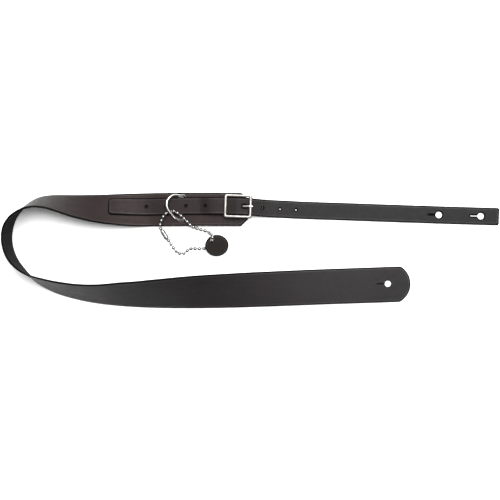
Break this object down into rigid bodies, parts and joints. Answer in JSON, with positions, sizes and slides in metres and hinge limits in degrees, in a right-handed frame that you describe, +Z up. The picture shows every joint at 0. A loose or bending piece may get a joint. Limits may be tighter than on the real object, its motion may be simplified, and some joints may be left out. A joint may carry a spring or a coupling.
{
  "type": "leather instrument strap",
  "caption": "Leather shoulder strap for an instrument: a wide band turned in a loop, a narrow tail in a centre-bar buckle, a wire keeper ring, and a ball chain with a round tag.",
  "frame": {"origin": "middle of the laid-out strap's base, on the surface it lies on", "axes": "+X along the strap from the band's loop to the tail strap's free end, +Y across from the band's free end to its buckled run, +Z up, out of the surface"},
  "size_m": [0.7168, 0.1696, 0.0507],
  "materials": {
    "band_leather": "semi-matte smooth grain",
    "tail_leather": "semi-matte smooth grain",
    "tag_leather": "matte",
    "nickel": "polished nickel plate",
    "chain_steel": "nickel-plated steel"
  },
  "bodies": {
    "strap": {"shoulder_band": "band_leather", "tail_strap": "tail_leather", "buckle_chape": "band_leather", "rivet_post_1": "nickel", "rivet_cap_1": "nickel", "rivet_post_2": "nickel", "rivet_cap_2": "nickel", "bead_01": "chain_steel", "bead_02": "chain_steel", "bead_03": "chain_steel", "bead_04": "chain_steel", "bead_05": "chain_steel", "bead_06": "chain_steel", "bead_07": "chain_steel", "bead_08": "chain_steel", "bead_09": "chain_steel", "bead_10": "chain_steel", "bead_11": "chain_steel", "bead_12": "chain_steel", "bead_13": "chain_steel", "bead_14": "chain_steel", "bead_15": "chain_steel", "bead_16": "chain_steel", "bead_17": "chain_steel", "bead_18": "chain_steel", "bead_19": "chain_steel", "bead_20": "chain_steel", "bead_21": "chain_steel", "bead_22": "chain_steel", "bead_23": "chain_steel", "bead_24": "chain_steel", "bead_25": "chain_steel", "bead_26": "chain_steel", "bead_27": "chain_steel", "bead_28": "chain_steel", "bead_29": "chain_steel", "bead_30": "chain_steel", "bead_31": "chain_steel", "bead_32": "chain_steel", "bead_33": "chain_steel", "bead_34": "chain_steel", "bead_35": "chain_steel", "chain_coupling": "chain_steel"},
    "buckle": {"buckle_frame": "nickel"},
    "prong": {"buckle_prong": "nickel"},
    "ring": {"keeper_ring": "nickel"},
    "tag": {"leather_tag": "tag_leather"}
  },
  "joints": [
    {"name": "buckle_tilt", "type": "hinge", "parent": "strap", "child": "buckle", "pos_m": [-0.0244, 0.0637, 0.0085], "axis": [0.0349, 0.9994, 0], "range_deg": [-2, 2]},
    {"name": "prong_lift", "type": "hinge", "parent": "buckle", "child": "prong", "pos_m": [-0.0244, 0.0637, 0.0085], "axis": [-0.0349, -0.9994, 0], "range_deg": [0, 6]},
    {"name": "ring_swing", "type": "hinge", "parent": "strap", "child": "ring", "pos_m": [-0.1024, 0.06155, 0.00145], "axis": [0, 1, 0], "range_deg": [0, 24]},
    {"name": "tag_swing", "type": "hinge", "parent": "strap", "child": "tag", "pos_m": [-0.0622, 0.0141, 0.00685], "axis": [0.1387, -0.1549, 0.9781], "range_deg": [-30, 8]}
  ]
}
